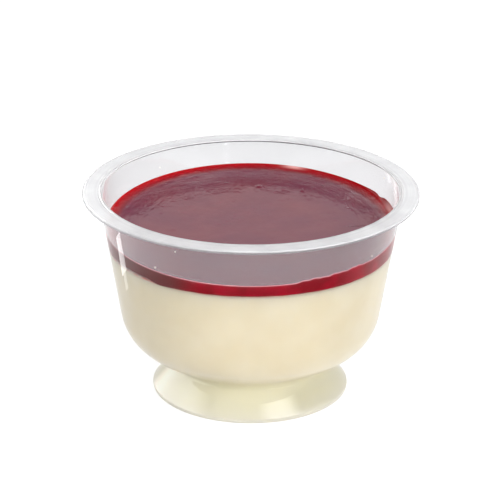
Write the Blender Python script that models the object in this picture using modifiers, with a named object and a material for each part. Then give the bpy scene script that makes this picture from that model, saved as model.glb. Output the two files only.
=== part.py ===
"""Panna cotta with a fruit coulis, set in a clear footed dessert cup.

The cup is one sheet of clear plastic drawn into a bowl on a short flared foot,
so it is modelled as that: the outline of its outer side, turned about Z and given
the sheet's thickness inwards. The cream fills the bowl, the neck and the foot to a
level top. The coulis lies on the cream, and its own top slopes: it stands higher at
the back (+Y) than at the front, and climbs the wall a little all the way round.

Units are metres, +Z is up, and the origin is the centre of the foot's underside.
"""

import math

import bpy
from mathutils import Vector

MM = 0.001

# The cup's outer side
RIM_RADIUS = 47.5 * MM
RIM_HEIGHT = 59.7 * MM
LIP_DROP = 0.95 * MM
SHEET = 0.5 * MM
WALL_RADIUS = 37.35 * MM
WALL_RADIUS_HEIGHT = 25.0 * MM
WALL_TAPER = 0.165
BOWL_ROUND = 14.0 * MM
BOWL_FLOOR_RADIUS = 28.0 * MM
BOWL_FLOOR_HEIGHT = 12.35 * MM
BOWL_FLOOR_SLOPE = math.radians(20.0)
NECK_RADIUS = 21.0 * MM
NECK_ROUND = 2.0 * MM
FOOT_RADIUS = 28.1 * MM
FOOT_EDGE = 1.2 * MM
FOOT_ROUND = 0.6 * MM
LIP_ROUND = 0.1 * MM
FLANGE_ROUND = 0.35 * MM
BASE_RING = 4.5 * MM
BASE_HOLLOW = 0.8 * MM
BASE_ROUND = 0.5 * MM

# What is in it
GAP = 0.3 * MM
CREAM_TOP = 43.8 * MM
COULIS_MID_HEIGHT = 49.1 * MM
COULIS_SLOPE = math.radians(3.75)
CLIMB = 0.75 * MM
CLIMB_REACH = 0.9 * MM
CLIMB_POINTS = 8
CLIMB_SPREAD = 1.5
BLANK_TOP = RIM_HEIGHT - 2.0 * MM
CUT_HEIGHT = 20.0 * MM
CUT_MARGIN = 5.0 * MM

STEPS = 52
ARC_ERROR = 0.08 * MM
MERGE = 0.00001


def clear_scene():
    for obj in list(bpy.data.objects):
        bpy.data.objects.remove(obj, do_unlink=True)


def new_collection(name):
    collection = bpy.data.collections.new(name)
    bpy.context.scene.collection.children.link(collection)
    return collection


def material(name, colour, roughness, ior, transmission=0.0):
    made = bpy.data.materials.new(name)
    made.use_nodes = True
    shader = made.node_tree.nodes["Principled BSDF"]
    shader.inputs["Base Color"].default_value = (*colour, 1.0)
    shader.inputs["Metallic"].default_value = 0.0
    shader.inputs["Roughness"].default_value = roughness
    shader.inputs["IOR"].default_value = ior
    shader.inputs["Transmission Weight"].default_value = transmission
    made.diffuse_color = (*colour, 1.0 - 0.7 * transmission)
    return made


def meet(start_a, along_a, start_b, along_b):
    """The point where two lines of the outline cross."""
    across = along_a.x * along_b.y - along_a.y * along_b.x
    step = start_b - start_a
    reach = (step.x * along_b.y - step.y * along_b.x) / across
    return start_a + along_a * reach


def rounded(corners):
    """The outline through corners (radius, height, round), each corner as an arc of its round."""
    points = [Vector(corners[0][:2])]
    for before, corner, after in zip(corners, corners[1:], corners[2:]):
        here = Vector(corner[:2])
        back = (Vector(before[:2]) - here).normalized()
        ahead = (Vector(after[:2]) - here).normalized()
        half = back.angle(ahead) / 2
        if corner[2] <= 0:
            points.append(here)
            continue
        middle = here + (back + ahead).normalized() * (corner[2] / math.sin(half))
        first = here + back * (corner[2] / math.tan(half)) - middle
        last = here + ahead * (corner[2] / math.tan(half)) - middle
        turn = first.angle_signed(last)
        widest_step = 2 * math.acos(1 - min(ARC_ERROR / corner[2], 0.3))
        count = max(2, math.ceil(abs(turn) / widest_step))
        for index in range(count + 1):
            angle = -turn * index / count
            points.append(middle + Vector((
                first.x * math.cos(angle) - first.y * math.sin(angle),
                first.x * math.sin(angle) + first.y * math.cos(angle),
            )))
    points.append(Vector(corners[-1][:2]))
    return points


def inset(corners, depth):
    """The same corners moved in by depth, towards the cup's inside, with their rounds to match."""
    sides = []
    for start, end in zip(corners, corners[1:]):
        along = (Vector(end[:2]) - Vector(start[:2])).normalized()
        inwards = Vector((along.y, -along.x))
        sides.append((Vector(start[:2]) + inwards * depth, along, Vector(end[:2]) + inwards * depth))
    moved = [(*sides[0][0], 0.0)]
    for corner, (start_a, along_a, _), (start_b, along_b, _) in zip(corners[1:], sides, sides[1:]):
        turns_in = along_a.x * along_b.y - along_a.y * along_b.x < 0
        bend = corner[2] - depth if turns_in else corner[2] + depth
        moved.append((*meet(start_a, along_a, start_b, along_b), max(bend, 0.0)))
    moved.append((*sides[-1][2], 0.0))
    return moved


def wall_radius(height):
    return WALL_RADIUS + WALL_TAPER * (height - WALL_RADIUS_HEIGHT)


def cup_corners():
    """The outer side of the sheet, from the lip's free edge down to the middle of the base."""
    wall_top = RIM_HEIGHT - SHEET
    wall = Vector((WALL_TAPER, 1.0)).normalized()
    floor = Vector((math.cos(BOWL_FLOOR_SLOPE), math.sin(BOWL_FLOOR_SLOPE)))
    floor_point = Vector((BOWL_FLOOR_RADIUS, BOWL_FLOOR_HEIGHT))
    bowl = meet(Vector((wall_radius(wall_top), wall_top)), wall, floor_point, floor)
    neck = floor_point - floor * ((BOWL_FLOOR_RADIUS - NECK_RADIUS) / floor.x)
    ring = FOOT_RADIUS - BASE_RING
    return [
        (RIM_RADIUS - SHEET, RIM_HEIGHT - LIP_DROP, 0.0),
        (RIM_RADIUS - SHEET, wall_top, LIP_ROUND),
        (wall_radius(wall_top), wall_top, FLANGE_ROUND),
        (*bowl, BOWL_ROUND),
        (*neck, NECK_ROUND),
        (FOOT_RADIUS, FOOT_EDGE, FOOT_ROUND),
        (FOOT_RADIUS, 0.0, FOOT_ROUND),
        (ring, 0.0, BASE_ROUND),
        (ring - BASE_HOLLOW, BASE_HOLLOW, BASE_ROUND),
        (0.0, BASE_HOLLOW, 0.0),
    ]


def turned(name, points, collection, finish=None):
    """An outline of (radius, height) points, turned once about Z."""
    mesh = bpy.data.meshes.new(name)
    edges = [(index, index + 1) for index in range(len(points) - 1)]
    mesh.from_pydata([(point[0], 0.0, point[1]) for point in points], edges, [])
    if finish:
        mesh.materials.append(finish)
    obj = bpy.data.objects.new(name, mesh)
    collection.objects.link(obj)
    screw = obj.modifiers.new("Turn", "SCREW")
    screw.axis = "Z"
    screw.steps = STEPS
    screw.render_steps = STEPS
    screw.use_merge_vertices = True
    screw.merge_threshold = MERGE
    screw.use_smooth_shade = True
    return obj


def make_cup(collection):
    clear_plastic = material("Clear polystyrene", (0.93, 0.94, 0.94), 0.06, 1.59, 0.9)
    cup = turned("cup", rounded(cup_corners()), collection, clear_plastic)
    sheet = cup.modifiers.new("Sheet thickness", "SOLIDIFY")
    sheet.thickness = SHEET
    sheet.offset = -1.0
    sheet.use_even_offset = True
    return cup


def fill_corners():
    """The outside of what fills the cup, which stays a gap clear of the sheet, from the wall down."""
    return inset(cup_corners(), SHEET + GAP)[2:]


def make_cream(collection):
    set_cream = material("Set cream", (0.82, 0.74, 0.57), 0.35, 1.4)
    top = CREAM_TOP - GAP / 2
    corners = fill_corners()
    edge = meet(Vector((0.0, top)), Vector((1.0, 0.0)),
                Vector(corners[0][:2]), Vector(corners[1][:2]) - Vector(corners[0][:2]))
    return turned("panna_cotta", rounded([(0.0, top, 0.0), (*edge, 0.0), *corners[1:]]), collection, set_cream)


def coulis_cutter(collection):
    """The space above the coulis: a flat face that curves up to the wall, tipped by the slope."""
    at_wall = wall_radius(COULIS_MID_HEIGHT) - SHEET
    outside = at_wall + CUT_MARGIN
    reach = 4 * CLIMB_REACH
    climb_outside = CLIMB * (1 + CUT_MARGIN / CLIMB_REACH)
    points = [(0.0, CUT_HEIGHT), (outside, CUT_HEIGHT), (outside, climb_outside)]
    for index in range(CLIMB_POINTS + 1):
        away = reach * (index / CLIMB_POINTS) ** CLIMB_SPREAD
        points.append((at_wall - away, CLIMB * math.exp(-away / CLIMB_REACH)))
    points += [(at_wall - reach - CLIMB_REACH, 0.0), (0.0, 0.0)]
    cutter = turned("space_above_coulis", points, collection)
    cutter.location.z = COULIS_MID_HEIGHT
    cutter.rotation_euler.x = COULIS_SLOPE
    cutter.hide_render = True
    cutter.display_type = "WIRE"
    return cutter


def make_coulis(collection, cutters):
    fruit_coulis = material("Fruit coulis", (0.20, 0.006, 0.012), 0.08, 1.42)
    bottom = CREAM_TOP + GAP / 2
    corners = fill_corners()
    side = Vector(corners[1][:2]) - Vector(corners[0][:2])
    low, high = (meet(Vector((0.0, level)), Vector((1.0, 0.0)), Vector(corners[0][:2]), side)
                 for level in (bottom, BLANK_TOP))
    outline = [(0.0, BLANK_TOP), tuple(high), tuple(low), (0.0, bottom)]
    coulis = turned("fruit_coulis", outline, collection, fruit_coulis)
    cut = coulis.modifiers.new("Sloping top", "BOOLEAN")
    cut.operation = "DIFFERENCE"
    cut.object = coulis_cutter(cutters)
    cut.solver = "EXACT"
    return coulis


def main():
    clear_scene()
    parts = new_collection("Panna cotta")
    cutters = new_collection("Cutters")
    make_cup(parts)
    make_cream(parts)
    make_coulis(parts, cutters)


main()
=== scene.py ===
# %% [markdown]
# # Panna cotta in a clear footed cup
#
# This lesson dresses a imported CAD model. The real thing is a single-portion dessert: white
# cream set in a thin clear plastic cup on a flared foot, with a glossy red fruit coulis
# poured on top. Everything round about it is turned about one axis, so almost every piece
# here is a profile (radius against height) carried once round that axis. numpy works out all
# the points of a piece at once, which is quick and keeps each formula in one readable line.
#
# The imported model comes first, because it fixes where everything goes.

# %% The frame
import math

import bpy
import numpy as np
from mathutils import Matrix, Vector


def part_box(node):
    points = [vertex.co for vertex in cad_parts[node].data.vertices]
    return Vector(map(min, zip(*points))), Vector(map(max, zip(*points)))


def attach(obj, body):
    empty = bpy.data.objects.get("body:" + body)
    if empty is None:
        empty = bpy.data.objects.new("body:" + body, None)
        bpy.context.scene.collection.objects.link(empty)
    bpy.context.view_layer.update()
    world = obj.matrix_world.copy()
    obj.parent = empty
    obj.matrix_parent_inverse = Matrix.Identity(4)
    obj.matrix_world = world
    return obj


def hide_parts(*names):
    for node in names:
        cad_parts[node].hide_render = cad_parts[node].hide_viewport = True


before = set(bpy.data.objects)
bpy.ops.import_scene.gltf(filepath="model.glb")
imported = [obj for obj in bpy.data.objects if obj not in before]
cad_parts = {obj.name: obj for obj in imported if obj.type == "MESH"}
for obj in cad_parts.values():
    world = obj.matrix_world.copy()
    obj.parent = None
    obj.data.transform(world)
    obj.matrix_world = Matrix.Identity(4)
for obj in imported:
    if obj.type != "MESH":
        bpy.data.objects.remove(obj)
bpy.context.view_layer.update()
scene = bpy.context.scene
MM = 0.001

# %% [markdown]
# ## The sizes of the cup
#
# The cup is one sheet of plastic, heated and drawn into a mould. Its outer side is a short
# list of corners, each with the radius that rounds it off. The rim's radius and height are read
# from the frame, so that the rim is exactly the CAD one, and the other sizes are given here.

# %% Driving sizes
_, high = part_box("cup")
RIM_RADIUS = high.x
RIM_HEIGHT = high.z
LIP_DROP = 0.86 * MM
SHEET = 0.5 * MM
WALL_RADIUS = 37.35 * MM
WALL_RADIUS_HEIGHT = 25.0 * MM
WALL_TAPER = 0.165
BOWL_ROUND = 14.0 * MM
BOWL_FLOOR_RADIUS = 28.0 * MM
BOWL_FLOOR_HEIGHT = 12.35 * MM
BOWL_FLOOR_SLOPE = math.radians(20.0)
NECK_RADIUS = 21.0 * MM
NECK_ROUND = 2.0 * MM
FOOT_RADIUS = 28.1 * MM
FOOT_EDGE = 1.2 * MM
FOOT_ROUND = 0.6 * MM
LIP_ROUND = 0.1 * MM
FLANGE_ROUND = 0.35 * MM
BASE_RING = 4.5 * MM
BASE_HOLLOW = 0.8 * MM
BASE_ROUND = 0.5 * MM
CREAM_TOP = 43.8 * MM
COULIS_MID_HEIGHT = 49.1 * MM
COULIS_SLOPE = math.tan(math.radians(3.75))
CLIMB = 0.75 * MM
CLIMB_REACH = 1.6 * MM
INTO_WALL = 0.15 * MM
INTO_FOOT = 0.43 * MM
print(f"rim {2000 * RIM_RADIUS:.1f} mm across, {1000 * RIM_HEIGHT:.1f} mm high")


def wall_outside(height):
    """Radius of the wall's outer side, a straight line that leans out as it rises."""
    return WALL_RADIUS + WALL_TAPER * (height - WALL_RADIUS_HEIGHT)


def wall_inside(height):
    """Radius of the wall's inner side: the outer one less the sheet, measured level."""
    return wall_outside(height) - SHEET * math.hypot(1.0, WALL_TAPER)


# %% [markdown]
# ## Profiles from corners
#
# A profile could be traced by hand, point by point, but then a change of size means tracing
# it again. Here a profile is corners with rounds. Moving every side in by the thickness of
# the sheet gives the inner profile, and a corner that bends one way gets a tighter round
# inside while a corner that bends the other way gets a wider one, as in a real bent sheet.

# %% Profile helpers
ARC_STEP = math.radians(7.0)


def across(a, b):
    """The z part of the cross product of two rows of flat vectors."""
    return a[..., 0] * b[..., 1] - a[..., 1] * b[..., 0]


def meet(start_a, along_a, start_b, along_b):
    """Where two lines cross: start_a + along_a ((start_b - start_a) x along_b) / (along_a x along_b)."""
    share = across(start_b - start_a, along_b) / across(along_a, along_b)
    return start_a + along_a * share[..., None]


def inset(corners, depth):
    """Every side moved in by depth along (dz, -dr), with the rounds made tighter or wider to match."""
    places = corners[:, :2]
    along = np.diff(places, axis=0)
    along /= np.linalg.norm(along, axis=1, keepdims=True)
    inwards = np.column_stack((along[:, 1], -along[:, 0])) * depth
    starts = places[:-1] + inwards
    middle = meet(starts[:-1], along[:-1], starts[1:], along[1:])
    turns_in = across(along[:-1], along[1:]) < 0
    rounds = np.maximum(corners[1:-1, 2] + np.where(turns_in, -depth, depth), 0.0)
    moved = np.vstack((starts[:1], middle, places[-1:] + inwards[-1:]))
    return np.column_stack((moved, np.concatenate(([0.0], rounds, [0.0]))))


def rounded(corners):
    """The line through the corners, each one replaced by an arc that touches both its sides."""
    pieces = [corners[:1, :2]]
    for before, corner, after in zip(corners, corners[1:], corners[2:]):
        here, bend = corner[:2], corner[2]
        back = (before[:2] - here) / np.linalg.norm(before[:2] - here)
        ahead = (after[:2] - here) / np.linalg.norm(after[:2] - here)
        half = math.acos(float(np.clip(back @ ahead, -1, 1))) / 2
        if bend <= 0:
            pieces.append(here[None])
            continue
        centre = here + (back + ahead) / np.linalg.norm(back + ahead) * bend / math.sin(half)
        first = here + back * bend / math.tan(half) - centre
        last = here + ahead * bend / math.tan(half) - centre
        turn = math.atan2(across(first, last), first @ last)
        angle = np.linspace(0, turn, max(4, math.ceil(abs(turn) / ARC_STEP)) + 1)[:, None]
        pieces.append(centre + first * np.cos(angle) + np.array((-first[1], first[0])) * np.sin(angle))
    pieces.append(corners[-1:, :2])
    return np.vstack(pieces)


def spaced(profile, longest):
    """The same line with points added, so that no stretch is longer than longest."""
    steps = np.diff(profile, axis=0)
    count = np.maximum(np.ceil(np.linalg.norm(steps, axis=1) / longest).astype(int), 1)
    start = np.repeat(profile[:-1], count, axis=0)
    number_in_step = np.arange(count.sum()) - np.repeat(np.cumsum(count) - count, count)
    share = number_in_step / np.repeat(count, count)
    return np.vstack((start + np.repeat(steps, count, axis=0) * share[:, None], profile[-1:]))


# %% [markdown]
# ## The corners of the cup
#
# On the real cup the wall, the bowl's floor and the flare of the foot are each almost straight
# in profile, and soft rounds join them. Two of the corners are not chosen: the bowl's is where
# the line of the wall meets the line of the floor, and the neck's lies on the line of the floor.
# Worked out this way, both stay right when the slope of the wall or the floor is changed.

# %% The corners of the cup
wall_top = RIM_HEIGHT - SHEET
wall_line = np.array((WALL_TAPER, 1.0)) / math.hypot(1.0, WALL_TAPER)
floor_line = np.array((math.cos(BOWL_FLOOR_SLOPE), math.sin(BOWL_FLOOR_SLOPE)))
floor_point = np.array((BOWL_FLOOR_RADIUS, BOWL_FLOOR_HEIGHT))
bowl_corner = meet(np.array((wall_outside(wall_top), wall_top)), wall_line, floor_point, floor_line)
neck_corner = floor_point - floor_line * (BOWL_FLOOR_RADIUS - NECK_RADIUS) / floor_line[0]
ring = FOOT_RADIUS - BASE_RING
cup_corners = np.array([
    (RIM_RADIUS - SHEET, RIM_HEIGHT - LIP_DROP + SHEET / 2, 0.0),
    (RIM_RADIUS - SHEET, wall_top, LIP_ROUND),
    (wall_outside(wall_top), wall_top, FLANGE_ROUND),
    (*bowl_corner, BOWL_ROUND),
    (*neck_corner, NECK_ROUND),
    (FOOT_RADIUS, FOOT_EDGE, FOOT_ROUND),
    (FOOT_RADIUS, 0.0, FOOT_ROUND),
    (ring, 0.0, BASE_ROUND),
    (ring - BASE_HOLLOW, BASE_HOLLOW, BASE_ROUND),
    (0.0, BASE_HOLLOW, 0.0),
])
outer_side = rounded(cup_corners)
inner_side = rounded(inset(cup_corners, SHEET))
print(f"outer side {len(outer_side)} points, inner side {len(inner_side)}")
print("the bowl's corner is at", np.round(1000 * bowl_corner, 1), "mm")

# %% [markdown]
# ## From rings to a mesh
#
# A Screw modifier would turn the profile too, but a piece whose edge rises and falls round
# the cup, as the coulis does, needs a different profile at every angle. So all pieces use one
# builder: an array of rings, each ring an array of points, closed at both ends by one point on
# the axis. The faces are index arithmetic on that array, and foreach_set hands all of it to
# the mesh in one go.

# %% The builder of closed skins
def closed_skin(name, rings, poles=(), values=None):
    """A closed mesh through rings[i, j], with quads between neighbouring rings.

    Vertex numbers are i * sides + j, then the poles. With two poles, a fan of triangles closes
    each end. With none, the last ring joins the first, as in a tyre. values are named numbers
    for every ring point, with each pole taking the mean of the ring next to it.
    """
    count, sides = rings.shape[:2]
    points = np.vstack((rings.reshape(-1, 3), *poles))
    here = np.arange(sides)
    there = (here + 1) % sides
    row = np.arange(count - 1 if poles else count)[:, None]
    this, following = row * sides, (row + 1) % count * sides
    quads = np.stack((this + here, this + there, following + there, following + here), axis=-1)
    quads = quads.reshape(-1, 4)
    start = count * sides
    end_row = (count - 1) * sides
    fans = np.vstack((
        np.column_stack((np.full(sides, start), there, here)),
        np.column_stack((np.full(sides, start + 1), end_row + here, end_row + there)),
    ))[:2 * sides if poles else 0]
    triangles = np.vstack((quads[:, [0, 1, 2]], quads[:, [0, 2, 3]], fans))
    a, b, c = (points[triangles[:, k]] for k in range(3))
    volume = np.einsum("ij,ij->i", a, np.cross(b, c)).sum() / 6
    if volume < 0:
        quads, fans = quads[:, ::-1], fans[:, ::-1]
    mesh = bpy.data.meshes.new(name)
    mesh.vertices.add(len(points))
    mesh.vertices.foreach_set("co", points.astype(np.float32).ravel())
    corners = np.concatenate((quads.ravel(), fans.ravel()))
    totals = np.concatenate((np.full(len(quads), 4), np.full(len(fans), 3)))
    mesh.loops.add(len(corners))
    mesh.loops.foreach_set("vertex_index", corners.astype(np.int32))
    mesh.polygons.add(len(totals))
    mesh.polygons.foreach_set("loop_start", (np.cumsum(totals) - totals).astype(np.int32))
    mesh.polygons.foreach_set("use_smooth", np.ones(len(totals), bool))
    mesh.update(calc_edges=True)
    for label, numbers in (values or {}).items():
        numbers = numbers.reshape(count, sides)
        at_poles = [numbers[0].mean(), numbers[-1].mean()][:len(poles)]
        everywhere = np.concatenate((numbers.ravel(), at_poles)).astype(np.float32)
        mesh.attributes.new(label, "FLOAT", "POINT").data.foreach_set("value", everywhere)
    piece = bpy.data.objects.new(name, mesh)
    scene.collection.objects.link(piece)
    print(f"{name}: {2 * len(quads) + len(fans)} triangles, {abs(volume) * 1e6:.2f} ml")
    return piece


def turned_rings(profile, sides):
    """rings[i, j] = (r_i cos t_j, r_i sin t_j, z_i) for a profile of (r, z)."""
    angle = np.linspace(0, 2 * np.pi, sides, endpoint=False)
    radius, height = profile[:, :1], profile[:, 1:]
    return np.stack((radius * np.cos(angle), radius * np.sin(angle), height + 0 * angle), axis=-1)


def smooth_step(x, start, end):
    """0 below start, 1 above end, and 3s^2 - 2s^3 between them."""
    s = np.clip((x - start) / (end - start), 0, 1)
    return s * s * (3 - 2 * s)


# %% [markdown]
# ## Node helpers
#
# Every material is a small network. One function adds a node, sets it up and links it, and
# one function turns the hex colours that people read into the linear numbers that the
# renderer adds up.

# %% Colours and nodes
def linear(hex_colour, alpha=1.0):
    """sRGB hex to linear light: c / 12.92 near black, ((c + 0.055) / 1.055) ^ 2.4 above."""
    parts = np.array([int(hex_colour[k:k + 2], 16) / 255 for k in (1, 3, 5)])
    light = np.where(parts <= 0.04045, parts / 12.92, ((parts + 0.055) / 1.055) ** 2.4)
    return (*light, alpha)


def add(tree, kind, inputs=None, **settings):
    """A node of this kind: settings go on the node, inputs on its sockets, as values or links."""
    made = tree.nodes.new(kind)
    for key, value in settings.items():
        setattr(made, key, value)
    for key, value in (inputs or {}).items():
        if isinstance(value, bpy.types.NodeSocket):
            tree.links.new(value, made.inputs[key])
        else:
            made.inputs[key].default_value = value
    return made


def new_material(name):
    """An empty node material and its output node."""
    made = bpy.data.materials.new(name)
    made.use_nodes = True
    made.node_tree.nodes.clear()
    return made, made.node_tree, made.node_tree.nodes.new("ShaderNodeOutputMaterial")


def noise(tree, size, detail=2.0, where=None):
    """Noise whose blobs are about size metres across, in the object's own coordinates."""
    if where is None:
        where = add(tree, "ShaderNodeTexCoord").outputs["Object"]
    settings = {"Vector": where, "Scale": 1 / size, "Detail": detail}
    return add(tree, "ShaderNodeTexNoise", settings).outputs["Fac"]


def numbers_of(tree, label):
    """The numbers that a mesh carries under this label, one for each of its points."""
    return add(tree, "ShaderNodeAttribute", attribute_name=label).outputs["Fac"]


def sums(tree, operation, first, second=0.0):
    """One Math node: an operation on one or two numbers."""
    return add(tree, "ShaderNodeMath", {0: first, 1: second}, operation=operation).outputs[0]


def remap(tree, value, from_low, from_high, to_low, to_high):
    """A number carried from one range to another, and held at the ends."""
    return add(tree, "ShaderNodeMapRange", {
        "Value": value, "From Min": from_low, "From Max": from_high, "To Min": to_low, "To Max": to_high,
    }).outputs["Result"]


def blend(tree, share, first, second):
    """A colour between two others, by share."""
    mixed = add(tree, "ShaderNodeMix", {"Factor": share}, data_type="RGBA")
    for socket, colour in ((mixed.inputs[6], first), (mixed.inputs[7], second)):
        if isinstance(colour, bpy.types.NodeSocket):
            tree.links.new(colour, socket)
        else:
            socket.default_value = colour
    return mixed.outputs[2]


# %% [markdown]
# ## The plastic of the cup
#
# The cup is clear polystyrene: thin, glassy and a little hazy. Glass in Blender is a surface
# that bends and mirrors rays, so a sheet with real thickness needs no other trick. Plain glass
# would block the lamps, so shadow rays see a faintly tinted transparent sheet instead. The
# haze is a share of Translucent: light that enters the plastic and leaves it in all directions.
# The cut edge of the lip has more of it, because a thin drawn edge is stretched and milky. The
# attribute ledge_painted_shade paints shade into the plastic: on the narrow ledge under the
# flange's inner edge and just below it, the glass is near black. That painted shade is the
# thin grey line round the mouth.

# %% Clear polystyrene
PLASTIC_IOR = 1.5
EDGE_HAZE = 0.45
SHEET_HAZE = 0.1


def clear_polystyrene():
    made, tree, out = new_material("Clear polystyrene")
    # Painted shade: near-black glass on the ledge under the flange's inner edge and just below it, in place
    # of the shade that the ledge holds.
    clear = add(tree, "ShaderNodeBsdfPrincipled", {
        "Base Color": blend(tree, numbers_of(tree, "ledge_painted_shade"), linear("#E4E4E6"), linear("#101011")),
        "Roughness": 0.03, "IOR": PLASTIC_IOR, "Transmission Weight": 1.0,
    }).outputs[0]
    hazed = add(tree, "ShaderNodeBsdfTranslucent", {"Color": linear("#F4F4F5")}).outputs[0]
    haze = remap(tree, numbers_of(tree, "cut_edge"), 0.0, 1.0, SHEET_HAZE, EDGE_HAZE)
    sheet = add(tree, "ShaderNodeMixShader", {"Fac": haze, 1: clear, 2: hazed}).outputs[0]
    let_through = add(tree, "ShaderNodeBsdfTransparent", {"Color": linear("#F4F4F5")}).outputs[0]
    shadow = add(tree, "ShaderNodeLightPath").outputs["Is Shadow Ray"]
    plastic = add(tree, "ShaderNodeMixShader", {"Fac": shadow, 1: sheet, 2: let_through}).outputs[0]
    tree.links.new(plastic, out.inputs["Surface"])
    return made


# %% [markdown]
# ## The bead and the ledge at the mouth
#
# Where the flange turns down into the wall, the moulding leaves a small bead that stands in
# over the wall. It gives the flange its crisp inner edge, and under it a ledge that faces down.
# Both are under half a millimetre, but light from the whole room gathers in them, so they are
# modelled as true steps in the profile. A bump map would not change the outline of the mouth.

# %% The bead and the ledge
BEAD_RADIUS = RIM_RADIUS - 5.5 * MM
BEAD_ROUND = 0.22 * MM
BEAD_DEPTH = 0.3 * MM
BEAD_FLAT = 0.8 * MM
LEDGE_RISE = 0.1 * MM
# How far down the wall the ledge's painted shade runs, and the step over which it fades out.
PAINTED_SHADE_REACH = 0.3 * MM
PAINTED_SHADE_FADE = 0.04 * MM

EDGE_POINTS = 9

lip_middle = RIM_RADIUS - SHEET / 2
edge_turn = np.linspace(0, -np.pi, EDGE_POINTS)[1:-1]
lip_edge = np.column_stack((
    lip_middle - SHEET / 2 * np.cos(edge_turn),
    RIM_HEIGHT - LIP_DROP + SHEET / 2 + SHEET / 2 * np.sin(edge_turn),
))
ledge_height = RIM_HEIGHT - BEAD_DEPTH - LEDGE_RISE
ledge_ends = np.array(((BEAD_RADIUS, RIM_HEIGHT - BEAD_DEPTH), (wall_inside(ledge_height), ledge_height)))
bead = rounded(np.array([
    (BEAD_RADIUS + BEAD_FLAT, RIM_HEIGHT, 0.0),
    (BEAD_RADIUS, RIM_HEIGHT, BEAD_ROUND),
    (*ledge_ends[0], 0.0),
]))
ledge_share = np.array((0.03, 0.06, 0.35, 0.65, 0.94, 0.97))[:, None]
ledge = ledge_ends[0] + (ledge_ends[1] - ledge_ends[0]) * ledge_share
outside_bead = inner_side[:, 0] > BEAD_RADIUS + BEAD_FLAT + 0.1 * MM
flange_top = inner_side[outside_bead & (inner_side[:, 1] > ledge_height)]
shaded_heights = ledge_height - PAINTED_SHADE_REACH * np.array((0.1, 0.5, 1.0))
shaded = np.column_stack((wall_inside(shaded_heights), shaded_heights))
wall_down = inner_side[inner_side[:, 1] < ledge_height - PAINTED_SHADE_REACH - 0.1 * MM]
down_wall = (wall_down[0] - shaded[-1]) / np.linalg.norm(wall_down[0] - shaded[-1])
below_painted_shade = shaded[-1] + PAINTED_SHADE_FADE * down_wall
print(f"the ledge is {1000 * (ledge_ends[1, 0] - ledge_ends[0, 0]):.2f} mm wide")

# %% [markdown]
# ## Turning the cup
#
# The path runs from the middle of the base out along the underside, up the outer side to the
# lip, round the lip's edge, and back down the inner side, so that the turned skin is the real
# sheet with its real thickness. A single surface with a Solidify modifier would do for a plain
# sheet, but not for one whose two sides differ, as they do at the bead.

# %% Turning the cup
CUP_SIDES = 240
CUP_SPACING = 0.8 * MM
cup_path = np.vstack((
    spaced(np.vstack((outer_side[::-1], lip_edge, flange_top, bead)), CUP_SPACING), ledge,
    shaded, spaced(np.vstack((below_painted_shade, wall_down)), CUP_SPACING),
))
# The rings that carry the painted shade: the ledge and the top of the wall under it.
painted_shade_rings = np.vstack((ledge[1:], shaded))
in_painted_shade = (np.abs(cup_path[:, None] - painted_shade_rings[None]).sum(axis=2) < 1e-9).any(axis=1)
on_lip = smooth_step(cup_path[:, 0], RIM_RADIUS - 0.8 * SHEET, RIM_RADIUS - 0.3 * SHEET)
print(in_painted_shade.sum(), "rings on the ledge,", (on_lip > 0.5).sum(), "on the lip")
cup = closed_skin(
    "clear_cup", turned_rings(cup_path[1:-1], CUP_SIDES),
    ((0, 0, cup_path[0, 1]), (0, 0, cup_path[-1, 1])),
    {"ledge_painted_shade": np.repeat(in_painted_shade[1:-1, None].astype(float), CUP_SIDES, axis=1),
     "cut_edge": np.repeat(on_lip[1:-1, None], CUP_SIDES, axis=1)},
)
cup.data.materials.append(clear_polystyrene())
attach(cup, "root")
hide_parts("cup")

# %% [markdown]
# ## The frosted flange
#
# A lid is sealed on the flat flange, and the seal leaves its top milky, with fine rings from
# the sealing head. The bloom also covers the bead on the inside and the round of the lip on the
# outside, which is smoother and so catches a bright line. It is a film on the clear sheet, and
# it is built as one: a very thin closed ring that follows the plastic just clear of it. Light
# that runs inside the sheet then still mirrors off the sheet's own top, which a milky material
# on the cup itself would spoil. The film has alpha, so that a little of what is behind it shows.
#
# The material reads the radius of each point, because everything that the sealing head leaves
# is round: the rings are noise along the radius alone, and cover and gloss change along it.

# %% The seal's bloom
FILM_COVER = 0.47
LIP_COVER = 0.62
BEAD_COVER = 0.85
FILM_THICKNESS = 0.03 * MM
FILM_GAP = 0.004 * MM
FILM_FOOT = 0.38 * MM
RING_WIDTH = 0.75 * MM
CLOUD_SIZE = 7 * MM


def seal_bloom():
    made, tree, out = new_material("Frosted lid seal")
    radius = numbers_of(tree, "radius")
    across_rings = add(tree, "ShaderNodeCombineXYZ", {"X": radius}).outputs[0]
    rings = noise(tree, RING_WIDTH, detail=1.0, where=across_rings)
    mottle = sums(tree, "MULTIPLY", rings, noise(tree, CLOUD_SIZE, detail=3.0))
    milk = blend(tree, remap(tree, mottle, 0.12, 0.4, 0, 1), linear("#D6D6D8"), linear("#ECECED"))
    lip_zone = (RIM_RADIUS - 0.3 * MM, RIM_RADIUS - 0.1 * MM)
    cover_out = remap(tree, radius, *lip_zone, FILM_COVER, LIP_COVER)
    bead_zone = (BEAD_RADIUS + 0.1 * MM, BEAD_RADIUS + 0.4 * MM)
    cover_in = remap(tree, radius, *bead_zone, BEAD_COVER, 0.0)
    milky = add(tree, "ShaderNodeBsdfPrincipled", {
        "Base Color": blend(tree, remap(tree, radius, *lip_zone, 0, 1), milk, linear("#CFCFD1")),
        "Roughness": remap(tree, radius, RIM_RADIUS - 0.5 * MM, RIM_RADIUS - 0.3 * MM, 0.4, 0.12),
        "IOR": 1.45, "Specular IOR Level": 0.4, "Alpha": sums(tree, "MAXIMUM", cover_out, cover_in),
    })
    tree.links.new(milky.outputs[0], out.inputs["Surface"])
    return made


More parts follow.
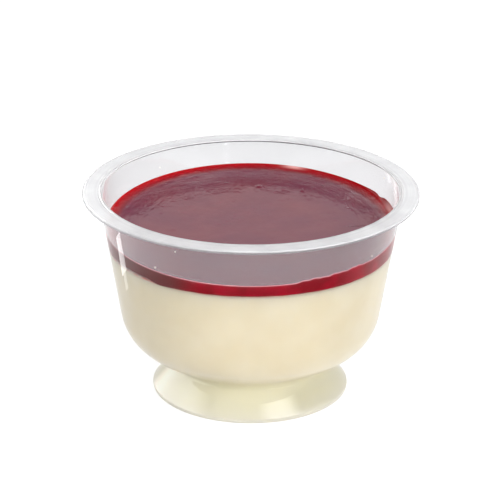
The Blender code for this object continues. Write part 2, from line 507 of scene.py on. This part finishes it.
FILM_SPACING = 0.4 * MM
over_flange = np.vstack((bead[::-1], flange_top[::-1]))
over_flange = spaced(over_flange[over_flange[:, 1] > RIM_HEIGHT - FILM_FOOT], FILM_SPACING)
along = np.gradient(over_flange, axis=0)
along /= np.linalg.norm(along, axis=1, keepdims=True)
outwards = np.column_stack((-along[:, 1], along[:, 0]))
film_path = np.vstack((
    over_flange + outwards * FILM_GAP,
    (over_flange + outwards * (FILM_GAP + FILM_THICKNESS))[::-1],
))
bloom = closed_skin("frosted_flange", turned_rings(film_path, CUP_SIDES), (),
                    {"radius": np.repeat(film_path[:, :1], CUP_SIDES, axis=1)})
bloom.data.materials.append(seal_bloom())
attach(bloom, "root")
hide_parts("cup")

# %% [markdown]
# ## The set cream
#
# The cream was poured in warm and set against the plastic, so it touches the sheet all over,
# down through the neck and into the foot. If it stopped short of the sheet, a dark air gap
# would show all the way up the side. It therefore reaches a little into the thickness of the
# sheet, and its side has no gloss of its own, because there is no air there to reflect.
#
# Cream is pale because light goes into it, wanders and comes back out. Subsurface scattering
# does exactly that, and it also softens the shade under the bowl. The colour has two changes
# with height: the foot is painted paler, as painted light that lifts the shade the bowl casts
# on it, and just under the coulis the fruit has begun to soak in and stains the cream in pink
# patches.

# %% Set cream
STAIN_DEPTH = 0.5 * MM
# Heights over which the foot's painted light fades out going up.
FOOT_PAINTED_LIGHT = (8.5 * MM, 11.5 * MM)
SCATTER = 6.0 * MM


def set_cream():
    made, tree, out = new_material("Set cream")
    mottle = noise(tree, 9 * MM, detail=3)
    colour = blend(tree, remap(tree, mottle, 0.35, 0.65, 0, 1), linear("#EFE5CB"), linear("#F3EAD3"))
    place = add(tree, "ShaderNodeTexCoord").outputs["Object"]
    level = add(tree, "ShaderNodeSeparateXYZ", {0: place}).outputs["Z"]
    # Painted light: the foot is painted paler, to lift the shade that the bowl casts on it.
    colour = blend(tree, remap(tree, level, *FOOT_PAINTED_LIGHT, 1.0, 0.0), colour, linear("#FFF4DB"))
    soaked = sums(tree, "MULTIPLY", remap(tree, level, CREAM_TOP - STAIN_DEPTH, CREAM_TOP, 0.0, 1.0),
                  remap(tree, level, CREAM_TOP + STAIN_DEPTH, CREAM_TOP + 2 * STAIN_DEPTH, 1.0, 0.0))
    patches = remap(tree, noise(tree, 3 * MM), 0.4, 0.6, 0.3, 1.0)
    colour = blend(tree, sums(tree, "MULTIPLY", soaked, patches), colour, linear("#E88C80"))
    body = add(tree, "ShaderNodeBsdfPrincipled", {
        "Base Color": colour, "Roughness": 0.5, "IOR": 1.4, "Specular IOR Level": 0.0,
        "Subsurface Weight": 1.0, "Subsurface Radius": (1.0, 1.0, 1.0), "Subsurface Scale": SCATTER,
    })
    tree.links.new(body.outputs[0], out.inputs["Surface"])
    return made


# %% Turning the cream
FOOT_ABOVE, FOOT_BELOW = 6 * MM, 3 * MM
fill_side = rounded(inset(cup_corners, SHEET - INTO_WALL))
foot_side = rounded(inset(cup_corners, SHEET - INTO_FOOT))
fill_side = np.vstack((fill_side[fill_side[:, 1] > FOOT_ABOVE], foot_side[foot_side[:, 1] < FOOT_BELOW]))
fill_side = fill_side[fill_side[:, 1] < wall_top - 2 * FLANGE_ROUND]
CREAM_SIDES = 240
CREAM_EDGE = CREAM_TOP + 0.15 * MM
cream_side = fill_side[fill_side[:, 1] < CREAM_TOP]
cream_rim = (wall_inside(CREAM_EDGE) + INTO_WALL, CREAM_EDGE)
cream_path = spaced(np.vstack((cream_side[::-1], cream_rim, (0.0, CREAM_EDGE))), 1.2 * MM)
cream = closed_skin(
    "set_cream", turned_rings(cream_path[1:-1], CREAM_SIDES),
    ((0, 0, cream_path[0, 1]), (0, 0, cream_path[-1, 1])),
)
cream.data.materials.append(set_cream())
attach(cream, "root")
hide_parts("panna_cotta")

# %% [markdown]
# ## The fruit coulis
#
# The coulis was poured on the set cream while the cup stood a little tilted, so its top
# slopes, and it clings to the wall in a thin curved edge. A flat disc would lose both. Its
# height is a sum: the tilted plane, plus a climb at the wall that fades with the distance
# from it, plus a shallow dish, faint ripples from pouring and a few soft lumps of fruit. At
# the right the last of the coulis ran down the wall and left a smear, and at the front right
# its edge is ragged. Both are humps in the climb, placed by their angle round the cup.
#
# Below the top, the side lies against the plastic down to a slightly wavy lower edge. The
# piece carries numbers that its materials read: how far a point is from the wall, its angle,
# where the edge is washed thin, which part gets the painted backlight, and where it is browner.

# %% The coulis's shape
COULIS_SIDES = 288
TOP_ROWS = 110
SIDE_ROWS = 12
RIPPLE_SEED = 7
DISH = 0.5
RIPPLE_HEIGHT = 0.065 * MM
SHORTEST_RIPPLE, LONGEST_RIPPLE = 2.5 * MM, 14 * MM
# Each lump of pulp: where it is, how tall and how wide, in millimetres
PULP = (
    (2.3, 26.7, 0.3, 0.7), (15.0, 24.0, 0.2, 0.5), (-25.6, 8.1, 0.12, 0.5), (24.7, 4.0, 0.1, 0.6),
    (-4.8, 17.8, 0.06, 1.6), (11.0, -1.0, 0.05, 2.2), (22.0, 7.5, 0.06, 1.2), (-12.0, 12.0, 0.04, 2.4),
)


def ripples(x, y, count=36):
    """The sum of count cosine waves of random direction, their height in step with their length."""
    draw = np.random.default_rng(RIPPLE_SEED)
    length = np.exp(draw.uniform(math.log(SHORTEST_RIPPLE), math.log(LONGEST_RIPPLE), count))
    heading = draw.uniform(0, 2 * np.pi, count)
    phase = draw.uniform(0, 2 * np.pi, count)
    total = np.zeros_like(x)
    for size, turn, shift in zip(length, heading, phase):
        wave = 2 * np.pi / size
        along_wave = x * math.cos(turn) + y * math.sin(turn)
        total += RIPPLE_HEIGHT * (size / LONGEST_RIPPLE) * np.cos(wave * along_wave + shift)
    return total / math.sqrt(count)


def hump(angle, centre, width):
    """A smooth hump of height 1 round a direction, both in degrees."""
    away = (np.degrees(angle) - centre + 180) % 360 - 180
    return np.exp(-((away / width) ** 2))


# %% Where the coulis meets the wall
# Angles are in degrees round the cup, from +X towards +Y
SMEAR_HEIGHT, SMEAR_ANGLE, SMEAR_WIDTH = 1.1 * MM, 12, 20
NOTCH_SHARE, NOTCH_ANGLE, NOTCH_WIDTH = 0.8, 25, 2.5
RAGGED_HEIGHT = 0.75 * MM
RAGGED_START, RAGGED_END = (-72.5, -70), (-44, -36)

angle = np.linspace(0, 2 * np.pi, COULIS_SIDES, endpoint=False)
degrees = (np.degrees(angle) + 180) % 360 - 180
smear = SMEAR_HEIGHT * hump(angle, SMEAR_ANGLE, SMEAR_WIDTH)
smear *= 1 - NOTCH_SHARE * hump(angle, NOTCH_ANGLE, NOTCH_WIDTH)
ragged = RAGGED_HEIGHT * smooth_step(degrees, *RAGGED_START) * (1 - smooth_step(degrees, *RAGGED_END))
ragged *= 0.7 + 0.3 * np.cos(61 * angle) * np.cos(23 * angle + 1)
extra = smear + ragged
contact = np.full_like(angle, COULIS_MID_HEIGHT)
for _ in range(4):
    contact = COULIS_MID_HEIGHT + CLIMB + extra + COULIS_SLOPE * wall_inside(contact) * np.sin(angle)
rim = wall_inside(contact)
print(f"coulis meets the wall between {1000 * contact.min():.1f} and {1000 * contact.max():.1f} mm")

# %% The top, from the wall to the middle
CROWDING = 2.2
SMEAR_REACH = 0.25 * MM
CALM_EDGE = 3 * MM

share = np.linspace(0, 1, TOP_ROWS, endpoint=False)[:, None]
away = rim * share ** CROWDING
radius = rim - away
x, y = radius * np.cos(angle), radius * np.sin(angle)
climb = CLIMB * np.exp(-away / CLIMB_REACH) + extra * np.exp(-away / SMEAR_REACH)
dish = DISH / 2 * (radius ** 2 - rim ** 2)
height = COULIS_MID_HEIGHT + COULIS_SLOPE * y + climb + dish
height += ripples(x, y) * smooth_step(away, 0, CALM_EDGE)
for spot_x, spot_y, tall, wide in PULP:
    height += tall * MM * np.exp(-((x / MM - spot_x) ** 2 + (y / MM - spot_y) ** 2) / wide ** 2)
top = np.stack((x, y, height), axis=-1)
print("the top dips", f"{1000 * (height[0].mean() - height[-1].mean()):.2f} mm below its edge")

# %% The side, against the plastic
DRIP, DRIP_ANGLE, DRIP_WIDTH = 0.3 * MM, -127, 4
STEP_UP, STEP_START = 0.6 * MM, (129.5, 134)
LEFT_END = (-175, -150)

lower_edge = CREAM_TOP + 0.05 * MM * np.cos(5 * angle + 1)
lower_edge += 0.04 * MM * np.cos(37 * angle) * np.cos(11 * angle) - DRIP * hump(angle, DRIP_ANGLE, DRIP_WIDTH)
lower_edge += STEP_UP * smooth_step(-degrees, *STEP_START) * smooth_step(degrees, *LEFT_END)
side_share = np.linspace(0, 1, SIDE_ROWS)[:, None]
side_height = lower_edge + (contact - lower_edge) * side_share
side_radius = wall_inside(side_height) + INTO_WALL + 0.02 * MM
side = np.stack((side_radius * np.cos(angle), side_radius * np.sin(angle), side_height), axis=-1)
bottom = side[:1] * np.array((0.5, 0.5, 1.0))
coulis_rings = np.concatenate((bottom, side, top))

# %% The numbers that the coulis carries
# Each washed place: its angle, its width and how much of the red is gone
WASHED = ((72, 4, 1.0), (13, 5, 0.7))
BROWNER_START = (108, 124)
deep_inside = np.full((1, COULIS_SIDES), 9.0)
below_edge = np.concatenate((deep_inside, (contact - side_height) / MM, np.zeros_like(away)))
washed = sum(gone * hump(angle, at, width) for at, width, gone in WASHED)
# Where the coulis against the plastic is browner: the left side.
browner_at_left = smooth_step(-degrees, *BROWNER_START) * smooth_step(degrees, *LEFT_END)


def over_top(numbers):
    """Numbers for the top's rings, with zeros for the rings below them."""
    return np.concatenate((np.zeros((1 + SIDE_ROWS, COULIS_SIDES)), numbers + 0 * away))


# backlit_wedge marks all but the front of the top, where the edge gets its painted backlight.
coulis = closed_skin(
    "fruit_coulis_top", coulis_rings, ((0, 0, bottom[0, :, 2].mean()), (0, 0, height[-1].mean())),
    {"below_edge": below_edge, "away": over_top(away / MM), "turn": over_top(np.degrees(angle)),
     "washed": over_top(washed), "backlit_wedge": over_top(smooth_step(np.sin(angle), -0.5, -0.15)),
     "browner_at_left": np.tile(browner_at_left, (len(coulis_rings), 1))},
)

# %% [markdown]
# ## The coulis's glossy top
#
# The coulis is dark where it is deep. Near the wall, except at the front, it is painted a
# bright red that fades with the distance from the wall: partly the thin film that climbs the
# wall, partly painted light, the glow of the backdrop shining through the back wall. Where it
# was washed thin, the cream shows through as pink. The surface is wet, so it is almost smooth,
# and nearly all that is seen in it is the mirror image of the cup's wall and of the room. Two
# fine bumps break that image up: streaks drawn out along the wall, and the skin of the set
# coulis. One flat red with a high gloss would look like lacquer.

# %% Glossy top
STREAK_DEPTH = 0.12 * MM
SKIN_GRAIN, SKIN_DEPTH = 1.2 * MM, 0.06 * MM
STREAK_LENGTH, STREAK_WIDTH = 9.0, 1.3
# Where looks change, in millimetres from the wall
DEEPENING, BACKLIT_EDGE, WASHED_EDGE = (0.0, 2.8), (2.6, 3.8), (0.4, 1.4)
STREAKS_START, STREAKS_END = (2.0, 4.0), (11.0, 15.0)


def coulis_gloss():
    made, tree, out = new_material("Fruit coulis, glossy top")
    away, turn, washed, backlit_wedge = (numbers_of(tree, label) for label in ("away", "turn", "washed", "backlit_wedge"))
    pulp = remap(tree, noise(tree, 16 * MM, detail=4.0), 0.35, 0.65, 0, 1)
    body_colour = blend(tree, pulp, linear("#622236"), linear("#6C2A36"))
    # Painted light: bright red near the wall, partly the thin film there, partly the glow of the backdrop
    # through the back wall; backlit_wedge keeps it off the front.
    thin = blend(tree, remap(tree, away, *DEEPENING, 0, 1), linear("#A20008"), linear("#6E0A1A"))
    edge = sums(tree, "MULTIPLY", backlit_wedge, remap(tree, away, *BACKLIT_EDGE, 1, 0))
    deep = blend(tree, edge, body_colour, thin)
    pale = sums(tree, "MULTIPLY", washed, remap(tree, away, *WASHED_EDGE, 1, 0))
    colour = blend(tree, pale, deep, linear("#E0A09C"))
    drawn_out = add(tree, "ShaderNodeCombineXYZ", {
        "X": sums(tree, "DIVIDE", away, STREAK_WIDTH), "Y": sums(tree, "DIVIDE", turn, STREAK_LENGTH),
    }).outputs[0]
    band = sums(tree, "MULTIPLY", remap(tree, away, *STREAKS_START, 0, 1),
                remap(tree, away, *STREAKS_END, 1, 0))
    streaks = sums(tree, "MULTIPLY", noise(tree, 1.0, where=drawn_out), band)
    wrinkled = add(tree, "ShaderNodeBump", {"Height": streaks, "Strength": 1.0, "Distance": STREAK_DEPTH})
    skin = add(tree, "ShaderNodeBump", {
        "Height": noise(tree, SKIN_GRAIN, detail=1.0), "Strength": 1.0, "Distance": SKIN_DEPTH,
        "Normal": wrinkled.outputs[0],
    })
    body = add(tree, "ShaderNodeBsdfPrincipled", {
        "Base Color": colour, "Roughness": 0.06, "IOR": 1.4, "Normal": skin.outputs[0],
    })
    tree.links.new(body.outputs[0], out.inputs["Surface"])
    return made


# %% [markdown]
# ## The coulis against the plastic
#
# Seen through the wall, the coulis wets the plastic, so it has no surface of its own there:
# the gloss belongs to the cup. What shows is a deep red with slow changes in it, a browner
# stretch at the left, and along the top a hair-thin pink line. That line is partly where the
# film runs out and partly a painted highlight, the light caught by the coulis's edge. A
# second material slot does this better than one material for all, because the two sides of
# the coulis have different looks and a clean border between them.

# %% Against the plastic
PINK_LINE_AND_HIGHLIGHT = (0.12, 0.34)
SLOW_CHANGES = 5 * MM


def coulis_against_plastic():
    made, tree, out = new_material("Fruit coulis, wetting the plastic")
    below = numbers_of(tree, "below_edge")
    stain = remap(tree, noise(tree, SLOW_CHANGES, detail=3.0), 0.38, 0.62, 0, 1)
    deep = blend(tree, stain, linear("#921A26"), linear("#AC1A2E"))
    deep = blend(tree, numbers_of(tree, "browner_at_left"), deep, linear("#7A3C3C"))
    # The pink line along the top: partly where the film runs out, partly a painted highlight of the edge.
    colour = blend(tree, remap(tree, below, *PINK_LINE_AND_HIGHLIGHT, 0, 1), linear("#E09AA4"), deep)
    body = add(tree, "ShaderNodeBsdfPrincipled", {
        "Base Color": colour, "Roughness": 0.4, "IOR": 1.4, "Specular IOR Level": 0.0,
    })
    tree.links.new(body.outputs[0], out.inputs["Surface"])
    return made


# %% Both materials on the coulis
coulis.data.materials.append(coulis_gloss())
coulis.data.materials.append(coulis_against_plastic())
face_ring = np.arange(COULIS_SIDES * (len(coulis_rings) - 1)) // COULIS_SIDES
on_side = (face_ring < SIDE_ROWS).astype(int)
slot = np.concatenate((on_side, np.ones(COULIS_SIDES), np.zeros(COULIS_SIDES)))
print(int(slot.sum()), "faces against the plastic,", int((1 - slot).sum()), "on the glossy top")
coulis.data.polygons.foreach_set("material_index", slot.astype(np.int32))
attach(coulis, "root")
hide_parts("fruit_coulis")

# %% [markdown]
# ## Splashes of cream
#
# When the cream was poured, a few drops no bigger than a grain of salt stayed on the wall above
# it. Each one is a small flattened ball that reaches just into the plastic. Scattering them
# with particles would need a target surface and a system to tune, while five drops listed one
# by one and some drawn at random take a few lines. They are joined into one mesh, because one
# object with a dozen balls is lighter to handle than a dozen objects.

# %% Drops on the wall
SPLASH_SEED = 5
SPLASH_RADIUS = 0.17 * MM
# Each listed drop: its angle in degrees, its height in mm, its size
PLACED = np.array((
    (-129.3, 48.7, 1.8), (-118.9, 55.4, 1.5), (-36.0, 49.4, 1.5), (24.0, 57.0, 1.2), (130.0, 54.5, 1.2),
))
# The others are drawn at random, between these angles, heights and sizes
DRAWN = 9
DRAWN_WITHIN = ((-180, 180), (53.5, 58.0), (0.45, 0.9))
DROP_ROWS, DROP_SIDES = 7, 12
FLATTENED, SUNK = 0.6, 0.3


def drop_points(angle, height, size):
    """A ball c + size (FLATTENED u_x, u_y, u_z) on the wall, with u the points of a unit sphere."""
    tilt = np.linspace(0, np.pi, DROP_ROWS)[1:-1, None]
    turn = np.linspace(0, 2 * np.pi, DROP_SIDES, endpoint=False)
    outward, sideways = np.sin(tilt) * np.cos(turn), np.sin(tilt) * np.sin(turn)
    upwards = np.cos(tilt) + 0 * turn
    radius = wall_inside(height) - SUNK * size + FLATTENED * size * outward
    around = angle + size * sideways / radius
    return np.stack((radius * np.cos(around), radius * np.sin(around), height + size * upwards), axis=-1)


draw = np.random.default_rng(SPLASH_SEED)
drawn = np.column_stack([draw.uniform(least, most, DRAWN) for least, most in DRAWN_WITHIN])
drops = []
for number, (turn, level, size) in enumerate(np.vstack((PLACED, drawn)) * (1, MM, SPLASH_RADIUS)):
    at, reach = math.radians(turn), wall_inside(level) - SUNK * size
    middle = np.array((reach * math.cos(at), reach * math.sin(at), level))
    poles = (middle + (0, 0, size), middle - (0, 0, size))
    drops.append(closed_skin(f"cream_splash_{number}", drop_points(at, level, size), poles))
splashes = drops[0]
chosen = {"active_object": splashes, "selected_objects": drops, "selected_editable_objects": drops}
with bpy.context.temp_override(**chosen):
    bpy.ops.object.join()
splashes.name = "cream_splashes"
splashes.data.materials.append(cream.data.materials[0])
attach(splashes, "root")
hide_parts("panna_cotta")

# %% [markdown]
# ## The floor
#
# The dessert stands on a plain white board that is lit from below, as on a light table: that
# gives a pure white ground with next to no shadow, and it lifts the underside of the bowl and
# the foot. A white board lit only from above would need so much light that the cream burnt
# out. The board glows and its own colour is a middle grey, so that the lamps add little to it.

# %% The floor
FLOOR_HALF = 1.5
FLOOR_DROP = 0.1 * MM
FLOOR_GLOW = 0.86
floor_mesh = bpy.data.meshes.new("studio_floor")
floor_corners = FLOOR_HALF * np.array(((-1, -1), (1, -1), (1, 1), (-1, 1)))
floor_mesh.from_pydata([(x, y, -FLOOR_DROP) for x, y in floor_corners], [], [(0, 1, 2, 3)])
studio_floor = bpy.data.objects.new("studio_floor", floor_mesh)
scene.collection.objects.link(studio_floor)
floor_paint, tree, out = new_material("White floor board")
body = add(tree, "ShaderNodeBsdfPrincipled", {
    "Base Color": linear("#8C8C8C"), "Roughness": 0.6, "Specular IOR Level": 0.0,
    "Emission Color": (1, 1, 1, 1), "Emission Strength": FLOOR_GLOW,
})
tree.links.new(body.outputs[0], out.inputs["Surface"])
floor_mesh.materials.append(floor_paint)
studio_floor.visible_glossy = False
print(f"a board of {2 * FLOOR_HALF:.0f} m that glows at {FLOOR_GLOW}")

# %% [markdown]
# ## Softboxes
#
# Clear plastic and wet coulis show the lamps in them, so the light is split in two kinds, as
# a studio does with flags and black cards. Some softboxes only light:
# they shape the cream and stay out of every mirror. Others only mirror: each puts one
# highlight where the real lamp put it, on the foot, along the left of the wall and on the
# lip. Light linking limits them to the pieces named. The edges of the two large ones, on the
# foot and at the left, fade out, since a hard edge would draw a line across the plastic.

# %% A softbox
CENTRE = Vector((0.0, 0.0, 30 * MM))
SOFTBOX_DISTANCE = 0.9


def soften(lamp, edge):
    """The lamp fades out over this share of its width at each end, as cloth on a softbox does."""
    lamp.use_nodes = True
    tree = lamp.node_tree
    across_lamp = add(tree, "ShaderNodeNewGeometry").outputs["Parametric"]
    place = add(tree, "ShaderNodeSeparateXYZ", {0: across_lamp})
    level = 1.0
    for axis in ("X", "Y"):
        off_middle = sums(tree, "ABSOLUTE", sums(tree, "SUBTRACT", place.outputs[axis], 0.5))
        level = sums(tree, "MULTIPLY", level, remap(tree, off_middle, 0.5 - edge, 0.5, 1.0, 0.0))
    glow = next(node for node in tree.nodes if node.type == "EMISSION")
    tree.links.new(level, glow.inputs["Strength"])


def softbox(name, direction, width, height, watts,
            mirrored=True, lights=True, soft_edge=0.0, only=(cup, bloom)):
    """An area light a fixed distance from the cup along a direction, turned to face it.

    With mirrored off it lights but is seen in nothing. With lights off it is seen in the
    glossy pieces named by only, and lights nothing.
    """
    lamp = bpy.data.lights.new(name, "AREA")
    lamp.shape = "RECTANGLE"
    lamp.size, lamp.size_y, lamp.energy = width, height, watts
    holder = bpy.data.objects.new(name, lamp)
    scene.collection.objects.link(holder)
    along = Vector(direction).normalized()
    holder.location = CENTRE + along * SOFTBOX_DISTANCE
    holder.rotation_euler = along.to_track_quat("Z", "Y").to_euler()
    holder.visible_camera = False
    holder.visible_glossy = mirrored
    holder.visible_transmission = False
    if soft_edge:
        soften(lamp, soft_edge)
    if not lights:
        holder.visible_diffuse = False
        holder.light_linking.receiver_collection = bpy.data.collections.new(name + " mirrors")
        for piece in only:
            holder.light_linking.receiver_collection.objects.link(piece)
    return holder


# %% The softboxes
softbox("key_softbox", (0.8, -0.55, 0.45), 0.8, 0.8, 6.0, mirrored=False)
softbox("right_fill", (1.0, -0.5, 0.15), 0.5, 0.4, 1.4, mirrored=False)
softbox("top_softbox", (0.0, 0.1, 1.0), 0.9, 0.9, 6.0, mirrored=False)
softbox("front_softbox", (0.3, -1.0, 0.5), 0.9, 0.3, 5.4, mirrored=False)
softbox("foot_highlight", (0.52, -0.51, 0.685), 0.7, 0.8, 9.0, lights=False, soft_edge=0.3)
softbox("left_panel", (-0.87, 0.25, 0.40), 2.4, 1.1, 36.0, lights=False, soft_edge=0.3)
softbox("top_panel", (0.0, -0.15, 1.0), 0.7, 0.7, 5.0, lights=False, only=(bloom,))

# %% [markdown]
# ## Glints
#
# Two marks on the plastic are narrow and bright: the upright streak on the left of the wall,
# and the line of light on the inner edge of the mouth. Each is the mirror image of something
# long and thin, so each gets a thin glowing strip. The strip lies close to the cup, where the
# mirrored ray passes, because that keeps it small and sharp.

# %% Glowing strips
def glow_strip(name, start, end, towards, width, watts):
    """A glowing strip from start to end that faces a point, seen only as a glint."""
    start, end, towards = Vector(start), Vector(end), Vector(towards)
    middle = (start + end) / 2
    strip = softbox(name, (0, 0, 1), (end - start).length, width, watts, lights=False)
    along = (end - start).normalized()
    away = middle - towards
    away = (away - along * away.dot(along)).normalized()
    facing = Matrix((along, away.cross(along), away)).transposed().to_4x4()
    strip.matrix_world = Matrix.Translation(middle) @ facing
    return strip


STREAK_BEND = (-0.087, 0.0282, 0.002)
FLOOR_UP = (-0.095, 0.030, 1.0)
glow_strip("wall_streak", STREAK_BEND, (-0.107, 0.043, 0.002), FLOOR_UP, 0.015, 0.0036)
glow_strip("wall_streak_end", (-0.079, 0.0222, 0.002), STREAK_BEND, FLOOR_UP, 0.007, 0.0003)
rim_glint = glow_strip(
    "rim_glint", (-0.069, 0.113, 0.089), (-0.095, 0.025, 0.145), (0.035, 0.027, 0.060), 0.022, 0.15)
rim_glint.visible_transmission = True

# %% [markdown]
# ## The room
#
# The rest of the light is the room itself, and the coulis mirrors it too. Behind the dessert
# the room is a bright backdrop, in front of it the room is dark, and so is the ceiling. That
# is what makes the middle of the coulis a veiled mauve while the wall of the cup stays clear.
# An image of a studio would do this as well, but three ramps along a direction can be read
# and changed one by one. The Standard view transform keeps white at white.

# %% The room
WORLD_LEVEL = 1.35
TOWARDS_BACKDROP = (-0.1, 0.995, 0.0)
# Each ramp: where it starts, where it ends, and its brightness at either end
BACKDROP_RAMP = (-0.3, 0.45, 0.05, 1.0)
CEILING_RAMP = (0.54, 0.66, 1.0, 0.03)
SLANT_RAMP = (0.46, 0.54, 0.74, 1.1)
world = bpy.data.worlds.new("studio")
scene.world = world
world.use_nodes = True
tree = world.node_tree
tree.nodes.clear()
direction = add(tree, "ShaderNodeTexCoord").outputs["Generated"]
behind = add(tree, "ShaderNodeVectorMath", {0: direction, 1: TOWARDS_BACKDROP},
             operation="DOT_PRODUCT").outputs["Value"]
upward = add(tree, "ShaderNodeSeparateXYZ", {0: direction}).outputs["Z"]
backdrop = remap(tree, behind, *BACKDROP_RAMP)
ceiling = remap(tree, upward, *CEILING_RAMP)
slant = remap(tree, upward, *SLANT_RAMP)
strength = WORLD_LEVEL
for ramp in (backdrop, ceiling, slant):
    strength = sums(tree, "MULTIPLY", strength, ramp)
background = add(tree, "ShaderNodeBackground", {"Color": (1, 1, 1, 1), "Strength": strength})
tree.links.new(background.outputs[0], tree.nodes.new("ShaderNodeOutputWorld").inputs["Surface"])
scene.view_settings.view_transform = "Standard"
print("the room's light goes up to", round(WORLD_LEVEL * SLANT_RAMP[3], 2))

# %% [markdown]
# ## The camera
#
# The dessert is seen from a little above, through a long lens from about 73 cm, so that the
# mouth is a flat ellipse and the foot is hardly smaller than it would be close up. The
# camera's place comes from its distance and its angle above the floor, and how far it looks
# down is a separate angle, because the dessert sits a little off the middle of the view.

# %% The camera
CAMERA_DISTANCE = 732.34 * MM
CAMERA_HEIGHT_ANGLE = math.radians(22.62)
LOOK_DOWN = math.radians(21.80)
ROLL = math.radians(0.315)
SIDE_STEP = -0.19 * MM
camera_data = bpy.data.cameras.new("camera")
camera_data.lens = 184.3
camera_data.sensor_width = 36.0
camera = bpy.data.objects.new("camera", camera_data)
scene.collection.objects.link(camera)
place = CENTRE + Vector((SIDE_STEP, -math.cos(CAMERA_HEIGHT_ANGLE) * CAMERA_DISTANCE,
                         math.sin(CAMERA_HEIGHT_ANGLE) * CAMERA_DISTANCE))
turn = Matrix.Rotation(math.pi / 2 - LOOK_DOWN, 4, "X") @ Matrix.Rotation(ROLL, 4, "Z")
camera.matrix_world = Matrix.Translation(place) @ turn
scene.camera = camera
print("the camera stands at", [round(1000 * part) for part in place], "mm")
